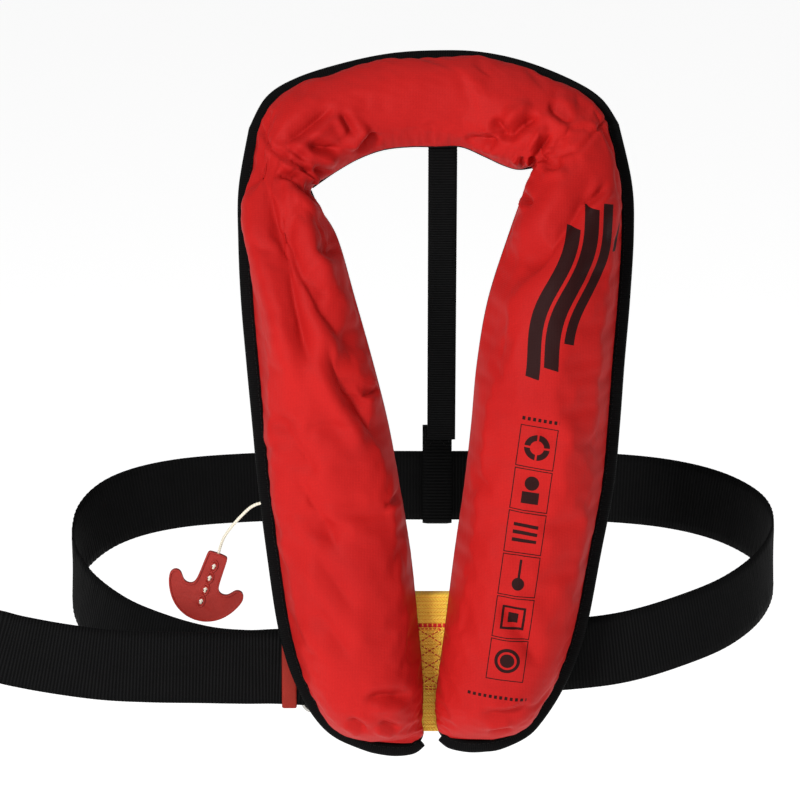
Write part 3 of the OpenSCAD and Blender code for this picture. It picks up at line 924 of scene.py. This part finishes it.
def crease(obj):
    """Presses the creases, seams and soft random hills into the blown-up cover."""
    mesh = obj.data
    co = read_points(mesh.vertices, "co") * 1000
    normal = read_points(mesh.vertices, "normal")
    x, y, z = co.T
    floor = np.array([lay(v) for v in z])
    front = np.clip((floor - y - 6) / 14, 0, 1)
    lift = np.zeros(len(co))
    for half, depth, line in CREASES:
        near = (np.abs(x - np.mean([p[0] for p in line])) < 120) & (front > 0)
        idx = np.nonzero(near)[0]
        d, t = line_distance(x[idx], z[idx], line)
        end = np.clip(np.minimum(t, 1 - t) * 3.2, 0, 1)
        end = end * end * (3 - 2 * end)
        depth = depth * 1.3
        valley = 0.75 * np.exp(-(d / half) ** 2) + 0.35 * np.exp(-(d / (0.4 * half)) ** 2)
        ridge = 0.62 * depth * np.exp(-((d + 1.8 * half) / (0.95 * half)) ** 2)
        ridge += 0.28 * depth * np.exp(-((d - 2.0 * half) / (1.2 * half)) ** 2)
        lift[idx] += (ridge - depth * valley) * end * front[idx]
    for line in SEAM_LINES:
        d, t = line_distance(x, z, line)
        gather = np.sin(t * 2 * math.pi * 6 + np.sin(t * 23)) * 0.25
        side = (0.8 + gather) * np.exp(-((np.abs(d) - 3.5) / 2.4) ** 2)
        lift += (side - 1.8 * np.exp(-(d / 1.1) ** 2)) * front
    lift += bumps(x, z, (60, 34), 3) * 0.5 * front
    lift += bumps(x * 0.75 + z * 0.4, z, (9,), 5) * 0.10 * front
    co += normal * lift[:, None]
    move_points(mesh, co / 1000)


def edge_puckers(rings, outer):
    """Small gathers where the cloth runs into the edge tape, which fade out across the lobe."""
    s = distances(outer)
    wave = np.sin(s * 2 * math.pi / 13 + 1.3 * np.sin(s / 31))
    wave += 0.6 * np.sin(s * 2 * math.pi / 7.3 + 2)
    share = np.linspace(0, 1, ARC)
    fade = np.exp(-((share - 0.10) / 0.07) ** 2)
    fade_in = np.exp(-((share - 0.90) / 0.08) ** 2)
    mid = rings[:, :ARC].mean(axis=1, keepdims=True)
    push = unit(rings[:, :ARC] - mid)
    height = wave[:, None] * fade + np.roll(wave, 9)[:, None] * fade_in
    rings[:, :ARC] += push * height[..., None] * 0.4
    return rings


def make_cover():
    outer = horseshoe(PER_STATION)[0]
    rings = edge_puckers(cover_points(), outer)
    n, m = rings.shape[:2]
    held = [r * m + j for r in range(n) for j in range(m)
            if j < 3 or j >= ARC - 2 or r < 2 or r > n - 3]
    obj = outwards(new_piece("padded_cover", rings.reshape(-1, 3), tube_faces(n, m)))
    inflate(obj, held, 2.2, -0.03, 7)
    add_modifier(obj, "SUBSURF", levels=1, render_levels=1)
    apply_modifiers(obj)
    crease(obj)
    obj.data.polygons.foreach_set("use_smooth", [True] * len(obj.data.polygons))
    finish_piece(obj, "jacket", "cover_fabric", "cover_fabric",
                 "cover_left", "cover_right", "cover_collar")
    obj.data.materials.append(FINISHES["printed_fabric"])
    centre = read_points(obj.data.polygons, "center")
    printed = (centre[:, 0] > 0.012) & (centre[:, 2] < 0.010) & (centre[:, 1] < -0.05)
    obj.data.polygons.foreach_set("material_index", printed.astype(np.int32))


make_cover()


# ---------------------------------------------------------------- edge tape and lining
def stitches(name, lines, size, pitch, finish, body="jacket", thick=0.62):
    """Thread stitches along lines on a surface: each dips into the cloth at both ends."""
    verts, faces = [], []
    for line in lines:
        line = np.asarray(line, float)
        s = distances(line)
        for k in range(max(1, int(s[-1] / pitch))):
            t = (k + 0.5) * pitch + np.array([-0.5, -0.3, 0, 0.3, 0.5]) * size
            spot = np.stack([np.interp(t, s, line[:, i]) for i in range(3)], axis=1)
            dip = np.array([0.5, 0.05, -0.12, 0.05, 0.5])
            spot[:, 1] += dip
            travel = along(spot)
            side = unit(np.cross(travel, [0, 1, 0]))
            up = np.cross(travel, side)
            base = len(verts)
            for p, a, b, r in zip(spot, side, up, (0.5, 1, 1.05, 1, 0.5)):
                verts += [p + (a * math.cos(q) + b * math.sin(q)) * thick / 2 * r
                          for q in np.arange(6) * math.pi / 3]
            faces += [tuple(base + i for i in f) for f in tube_faces(5, 6)]
    obj = outwards(new_piece(name, verts, faces))
    return finish_piece(obj, body, finish, "cord")


def tape_route(stations, bottom):
    """Middle line of the tape, its inward direction and the way that it faces."""
    line = [(s[0], lay(s[1]), s[1]) for s in stations]
    lean = [s[5] for s in stations]
    inner = [(s[2], lay(s[3]), s[3]) for s in stations]
    if bottom:
        (x0, z0), (x1, z1) = stations[-1][:2], stations[-1][2:4]
        for u, drop in ((0.33, 2.5), (0.66, 3.0), (1.0, 0.5)):
            line.append((x0 + (x1 - x0) * u, -60, z0 + (z1 - z0) * u - drop))
            inner.append(((x0 + x1) / 2, -60, -380))
            lean.append(0)
        line.append((x1 + math.copysign(7, x1 - x0), -60, z1 + 5))
        inner.append((x1 - math.copysign(10, x1 - x0), -60, -380))
        lean.append(0)
    route = smooth(line, 12)
    route = resample(np.hstack([route, smooth(inner, 12), smooth(lean, 12)]), 420)
    travel = along(route[:, :3])
    out = unit(np.stack([route[:, 6] * 0, route[:, 6] * 0 - 1, route[:, 6]], axis=1))
    inward = unit(np.cross(out, travel))
    inward *= np.sign(np.sum(inward * (route[:, 3:6] - route[:, :3]), axis=1, keepdims=True))
    return route[:, :3], inward, out


def make_tape(name, stations, node, seed, bottom=False):
    """Folded tape round the edge: a front leaf, a round edge and a back leaf, slightly wavy."""
    route, inward, out = tape_route(stations, bottom)
    s = distances(route)
    rng = np.random.default_rng(seed)
    wave = sum(np.sin(s * 2 * math.pi / w + rng.uniform(0, 6)) for w in (46, 27, 15)) / 3
    fine = np.cos(s * 2 * math.pi / 1.6) * 0.09
    wide = TAPE_W + 2.9 + 0.6 * wave
    route = route - inward * 1.6
    thick = 3.3 + 0.25 * np.sin(s / 9)
    rings = []
    leaf = [(1.0, 0.62), (0.96, 0.86), (0.8, 1.0), (0.55, 1.04)]
    turn = np.linspace(math.pi / 2, 3 * math.pi / 2, 9)
    for r, i, o, w, h, f in zip(route, inward, out, wide, thick, fine):
        near = [r + i * w * u + o * (h * v + f) for u, v in leaf]
        edge = [r + i * (2.4 + 2.4 * math.cos(a)) + o * ((h + f) * math.sin(a)) for a in turn]
        far = [r + i * w * u - o * (h * v + f) for u, v in leaf[::-1]]
        rings.append(near + edge + far)
    rings = np.array(rings)
    n, m = rings.shape[:2]
    across = np.concatenate([[0]] + [np.linalg.norm(np.diff(rings[0], axis=0), axis=1)]).cumsum()
    uvs = np.stack([np.repeat(s, m), np.tile(across, n)], axis=1)
    obj = outwards(new_piece(name, rings.reshape(-1, 3), tube_faces(n, m), uvs))
    finish_piece(obj, "jacket", "binding_tape", "binding_tape", node)
    line = route + inward * (wide * 0.72)[:, None] + out * (thick * 1.04 + 0.12)[:, None]
    return line


def make_lining(name, stations, node, seed):
    """A cloth panel that closes the back, lightly puckered."""
    outer = smooth([(s[0], lay(s[1]), s[1]) for s in stations], 8)
    inner = smooth([(s[2], lay(s[3]), s[3]) for s in stations], 8)
    lean = smooth([s[5] for s in stations], 8)[:, 0]
    out = unit(np.stack([lean * 0, lean * 0 - 1, lean], axis=1))
    edge = outer + unit(inner - outer) * (TAPE_W - 0.5)
    share = np.linspace(0, 1, 30)
    face = edge[:, None] + (inner - edge)[:, None] * share[:, None]
    puff = np.sin(share * math.pi) ** 0.5
    wrinkle = bumps(face[..., 0], face[..., 2], (42, 23), seed) * 0.8 * puff
    near = face - out[:, None] * 0.25
    far = face - out[:, None] * (1.5 + puff[None, :, None] * 0.9 + wrinkle[..., None])
    rings = np.concatenate([near, far[:, ::-1]], axis=1)
    n, m = rings.shape[:2]
    obj = outwards(new_piece(name, rings.reshape(-1, 3), tube_faces(n, m)))
    add_modifier(obj, "SUBSURF", levels=1, render_levels=1)
    apply_modifiers(obj)
    finish_piece(obj, "jacket", "lining", "lining", node)
    wide = np.linalg.norm(inner - edge, axis=1)
    length = distances((inner + edge) / 2)


def make_edges():
    tape_lines = [
        make_tape("left_edge_tape", LEFT_LOBE, "binding_left", 11, True),
        make_tape("right_edge_tape", RIGHT_LOBE, "binding_right", 12, True),
        make_tape("collar_edge_tape", COLLAR, "binding_collar", 13)]
    stitches("edge_tape_stitching", tape_lines, 2.3, 3.4, "black_thread")
    make_lining("left_back_lining", LEFT_LOBE, "back_panel_left", 21)
    make_lining("right_back_lining", RIGHT_LOBE, "back_panel_right", 22)
    make_lining("collar_back_lining", COLLAR, "back_panel_collar", 23)


make_edges()


# ---------------------------------------------------------------- webbing
def belt_z(x, y):
    return -285 - 0.39 * (162 - y) + 0.0002 * x * (162 - y)


def rounded_loop(y0, y1, z0, z1, radius, x):
    """A closed rounded rectangle seen from the side, ending where it starts."""
    points = [(x, y0, (z0 + z1) / 2)]
    for cy, cz, start in ((y0 + radius, z0 + radius, 180), (y1 - radius, z0 + radius, 270),
                          (y1 - radius, z1 - radius, 0), (y0 + radius, z1 - radius, 90)):
        points += [(x, cy + radius * math.cos(math.radians(start + a)),
                    cz + radius * math.sin(math.radians(start + a))) for a in range(0, 91, 15)]
    points.append((x, y0, (z0 + z1) / 2 + 0.02))
    return np.array(points)


def cross_stitch_box(x0, x1, z0, z1, y):
    """The lines of a box with a cross in it."""
    a, b, c, d = (x0, y, z0), (x1, y, z0), (x1, y, z1), (x0, y, z1)
    return [np.array([p, q], float) for p, q in ((a, b), (b, c), (c, d), (d, a), (a, c), (b, d))]


def black_strap(obj, node):
    return finish_piece(obj, "jacket", "black_webbing", "black_webbing", node)


def make_webbing():
    route = smooth(BELT_ROUTE, 8)
    route = np.column_stack([route, belt_z(route[:, 0], route[:, 1])])
    black_strap(ribbon("waist_belt", route, (0, 0, 1), BELT_W, BELT_T, count=9), "belt")
    # The tail's end is folded back on itself and stitched down
    tail = TAIL_ROUTE[:-1] + [(-320, -60, -354), (-331, -60, -352.6), (-333, -59.7, -352.5),
                             (-333.6, -59, -352.5), (-333, -58.3, -352.5), (-320, -57.9, -353.2)]
    route = smooth(tail, 8)
    black_strap(ribbon("belt_tail_webbing", route, (0, 0, 1), BELT_W, BELT_T, count=9), "belt_tail")
    lines = [[(-322 - k, -61.2, -329.5 + k * 0.2), (-322 - k, -61.2, -375 + k * 0.2)] for k in (0, 3)]
    stitches("belt_tail_stitching", lines, 2.4, 3.4, "black_thread")
    route = smooth(STRAP_ROUTE, 12)
    black_strap(ribbon("back_strap_webbing", route, (1, 0, 0), 21, 1.6, count=7), "back_strap")
    loop = [(161.0, -238.4), (160.9, -252), (159.5, -258.5), (159.0, -266), (159.0, -307),
            (159.6, -312), (162.2, -313.7), (165.0, -312), (165.6, -307), (165.6, -266),
            (165.0, -259), (163.0, -252), (162.7, -238.4)]
    route = smooth([(2, *point) for point in loop], 10)
    loop = ribbon("back_strap_loop_webbing", route, (1, 0, 0), 22, 1.6, count=7)
    black_strap(loop, "back_strap_loop")
    box = cross_stitch_box(-6.5, 10.5, -255, -240, 160.0)
    stitches("back_strap_stitching", box, 2.4, 3.2, "black_thread")
    for name, node, x, wide, z in (("left_belt_guide", "belt_guide_left", -33, 12, -368.5),
                                   ("right_belt_guide", "belt_guide_right", 48, 20, -366.5)):
        route = rounded_loop(-53.4, -47.0, z - 29.2, z + 29.2, 2.4, x)
        black_strap(ribbon(name, route, (1, 0, 0), wide, 1.5, count=6), node)
    make_lifting_loop()


def make_lifting_loop():
    route = [(-2, -56.4, -419), (-2, -55.9, -405)] + LIFT_ROUTE[1:]
    loop = ribbon("lifting_loop_webbing", smooth(route, 12), (1, 0, 0), 44, 2.2, rib=4.2, rise=0.22,
                  count=12)
    finish_piece(loop, "jacket", "yellow_webbing", "yellow_webbing", "lifting_loop")
    y = -57.3
    lines = []
    heights = (-342.4, -353.3, -364.2, -374.8, -385.2)
    for top, foot in zip(heights[:-1], heights[1:]):
        lines += [[(-13.2, y, top), (4.2, y, foot)], [(4.2, y, top), (-13.2, y, foot)]]
    lines += [[(-14, y, z), (5, y, z)] for z in (-342.4, -385.4, -387.6)]
    stitches("lifting_loop_stitching", lines, 2.2, 2.9, "red_thread", thick=0.75)
    bars = [[(-23.5, y, z), (19.5, y, z)] for z in np.arange(-340.9, -338.2, 0.75)]
    stitches("lifting_loop_bar_stitching", bars, 3.4, 3.5, "red_thread", thick=0.7)


make_webbing()


# ---------------------------------------------------------------- hard fittings
def block(name, low, high, round_by):
    """A moulded block between two corners, with its edges rounded."""
    low, high = Vector(low), Vector(high)
    obj = primitive("cube", name, size=1)
    put(obj, Matrix.Translation((low + high) / 2 * MM) @ Matrix.Diagonal((*(high - low) * MM, 1)))
    add_modifier(obj, "BEVEL", width=round_by * MM, segments=3, limit_method="NONE")
    return apply_modifiers(obj)


def make_keeper():
    obj = block("belt_keeper_ring", (-112, -55.4, -402.7), (-101, -44.4, -342), 1.6)
    hole = block("keeper_hole", (-114, -54.1, -401.4), (-99, -45.7, -343.3), 0.8)
    cut_away(obj, hole)
    add_modifier(obj, "BEVEL", width=0.0004, segments=2, limit_method="ANGLE",
                 angle_limit=math.radians(50))
    apply_modifiers(obj)
    smooth_by_angle(obj, 35)
    return finish_piece(obj, "keeper", "keeper_plastic", "red_plastic", "belt_keeper")


def make_buckle():
    x0, x1, z0, z1, r, y = -96.4, -59.6, -405.4, -342.6, 7, -50
    points = []
    for cx, cz, start in ((x0 + r, z0 + r, 180), (x1 - r, z0 + r, 270), (x1 - r, z1 - r, 0),
                          (x0 + r, z1 - r, 90)):
        for a in range(0, 91, 9):
            turn = math.radians(start + a)
            points.append((cx + r * math.cos(turn), y, cz + r * math.sin(turn)))
    points.append((x0, y, (z0 + z1) / 2 + 3))
    points = [(x0, y, (z0 + z1) / 2 + 2.9)] + points
    obj = cord_piece("buckle_wire_frame", resample(np.array(points), 150), 3.2, 14)
    return finish_piece(obj, "jacket", "steel", "steel", "buckle_frame")


def coil(name, centre, z0, z1, radius, wire, body, node):
    """A spring of round wire that stands upright, with four and a half turns."""
    t = np.linspace(0, 1, 81)
    a = t * 4.5 * 2 * math.pi
    route = np.stack([centre[0] + radius * np.cos(a), centre[1] + radius * np.sin(a),
                      z0 + wire / 2 + (z1 - z0 - wire) * t], axis=1)
    obj = cord_piece(name, route, wire, 8)
    return finish_piece(obj, body, "steel", "steel", node)


def make_bladder(name, node):
    """The folded bladder under the cover, with soft creases."""
    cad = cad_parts[node]
    obj = cad.copy()
    obj.data = cad.data.copy()
    obj.name = name
    obj.parent = None
    bpy.context.scene.collection.objects.link(obj)
    obj.data.transform(cad.matrix_world)
    obj.matrix_world = Matrix.Identity(4)
    for key in list(obj.keys()):
        del obj[key]
    outwards(obj)
    add_modifier(obj, "REMESH", mode="VOXEL", voxel_size=0.0028, use_smooth_shade=True)
    add_modifier(obj, "SMOOTH", factor=0.6, iterations=3)
    apply_modifiers(obj)
    co = read_points(obj.data.vertices, "co")
    normal = read_points(obj.data.vertices, "normal")
    x, y, z = co.T * 1000
    fold = np.abs(bumps(x + z * 0.2, z, (38, 21), 31)) * 1.5 - 1.6
    move_points(obj.data, co + normal * fold[:, None] * MM)
    finish_piece(obj, "jacket", "bladder_film", "bladder_film", node)


def repaint(plan):
    """New finishes on the CAD nodes that keep their own shape."""
    for finish, nodes in plan.items():
        for node in nodes:
            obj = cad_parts[node]
            obj.data.materials.clear()
            obj.data.materials.append(FINISHES[finish])
            smooth_by_angle(obj, 35)


make_keeper()
make_buckle()
spring = coil("pin_return_spring", (-62, -89), -342.9, -336.1, 2.8, 0.9, "pin", "piercing_spring")
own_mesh(spring)
spring = coil("valve_return_spring", (75, -88), -151.6, -145.2, 3.0, 0.8, "valve", "valve_spring")
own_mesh(spring)
for side in ("left", "right", "collar"):
    make_bladder(f"folded_bladder_{side}", f"bladder_{side}")
repaint({
    "lining": ["closure_left", "closure_right"],
    "black_plastic": ["inflator_body", "manifold_stem", "cap_nut", "valve_body", "whistle_holder"],
    "rubber": ["manifold_gasket", "oral_tube"], "red_plastic": ["firing_lever", "valve_poppet"],
    "steel": ["lever_pin", "piercing_pin", "buckle_hook"], "gas_steel": ["gas_cylinder"],
    "cartridge": ["sensor_cartridge"], "yellow_plastic": ["sensor_cap", "dust_cap"],
    "orange_plastic": ["whistle"]})


# ---------------------------------------------------------------- floor and light
def area_light(name, place, towards, size, power):
    data = bpy.data.lights.new(name, "AREA")
    data.shape = "RECTANGLE"
    data.size, data.size_y = size
    data.energy = power
    light = bpy.data.objects.new(name, data)
    light.location = place
    light.rotation_euler = (Vector(towards) - Vector(place)).to_track_quat("-Z", "Y").to_euler()
    bpy.context.scene.collection.objects.link(light)


def make_stage():
    floor = primitive("plane", "floor", size=40, location=(0, 0, -0.85))
    pale = Finish("pale_floor", (0.93, 0.93, 0.93), 0.9, emission_color=(1, 1, 1, 1),
                  emission_strength=0.68)
    floor.data.materials.append(pale.material)
    world = bpy.data.worlds.new("white_room")
    bpy.context.scene.world = world
    world.use_nodes = True
    world.node_tree.nodes["Background"].inputs["Color"].default_value = (1, 1, 1, 1)
    world.node_tree.nodes["Background"].inputs["Strength"].default_value = 0.26
    area_light("key_light", (-1.7, -2.9, 1.25), (-0.03, 0, -0.18), (0.7, 0.7), 108)
    area_light("fill_light", (1.9, -3.0, 0.5), (-0.03, 0, -0.2), (1.6, 1.6), 8)
    area_light("top_light", (0.1, 0.2, 2.6), (-0.03, 0, -0.1), (1.4, 1.0), 14)
    bpy.context.scene.view_settings.view_transform = "Standard"


make_stage()
